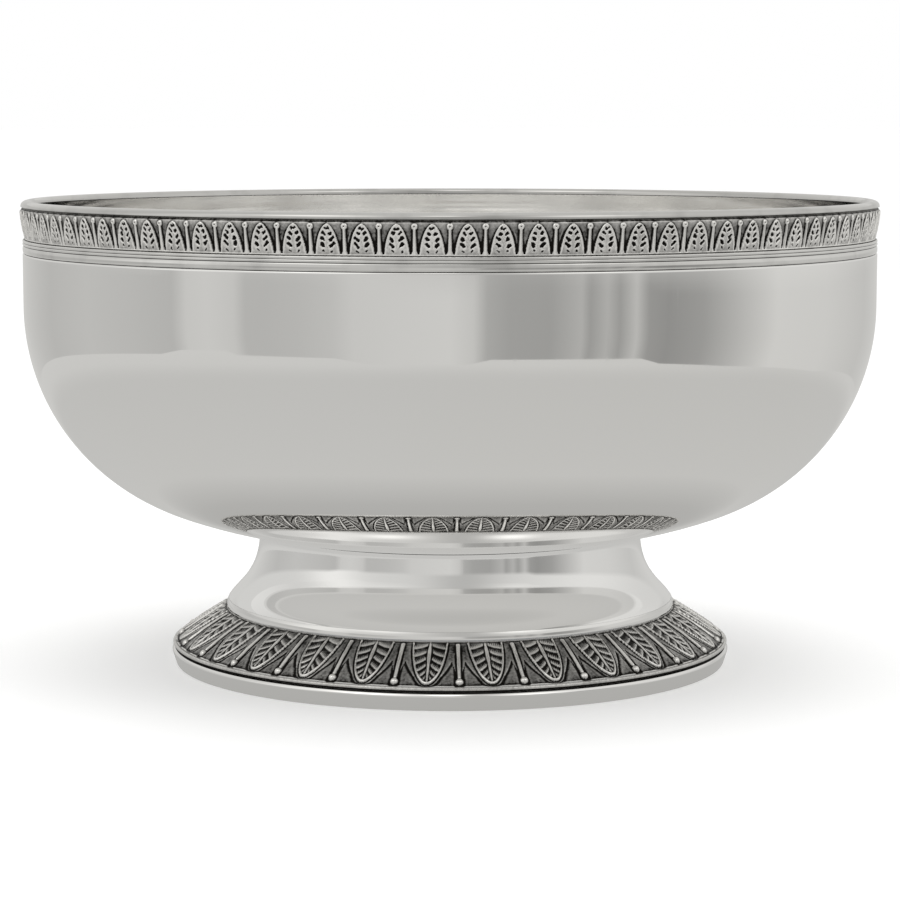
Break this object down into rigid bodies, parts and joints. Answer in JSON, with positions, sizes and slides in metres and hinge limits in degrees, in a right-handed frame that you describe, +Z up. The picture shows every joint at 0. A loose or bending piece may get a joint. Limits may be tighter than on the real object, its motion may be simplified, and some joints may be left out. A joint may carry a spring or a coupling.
{
  "type": "footed punch bowl",
  "caption": "Large round silver-plated punch bowl with a deep rounded body, a leaf frieze around the rim, and a waisted round foot on a palm-leaf frieze and plain plinth.",
  "frame": {"origin": "centre of the underside of the foot, where the bowl stands on the table", "axes": "+Z up along the bowl's axis of revolution, +X and +Y anywhere around it, with the front at -Y"},
  "size_m": [0.3996, 0.3997, 0.2178],
  "materials": {
    "polished_silver": "mirror-polished silver plate over brass, with fine hairline scratches",
    "patinated_silver": "die-struck silver plate over brass, dark brown-black patina in the recesses and bright worn high points",
    "steel": "plain zinc-plated steel"
  },
  "bodies": {
    "root": {"bowl_shell": "polished_silver", "rim_lip_wire": "polished_silver", "rim_leaf_band": "patinated_silver", "rim_upper_wire": "polished_silver", "rim_lower_wire": "polished_silver", "foot_spool": "polished_silver", "foot_collar_wire": "polished_silver", "foot_leaf_ring": "patinated_silver", "foot_edge_wire": "patinated_silver", "foot_plinth_band": "polished_silver", "bowl_boss": "polished_silver", "fixing_stud": "steel", "clamp_plate": "steel", "clamp_washer": "steel", "lock_washer": "steel", "clamp_nut": "steel"}
  },
  "joints": []
}
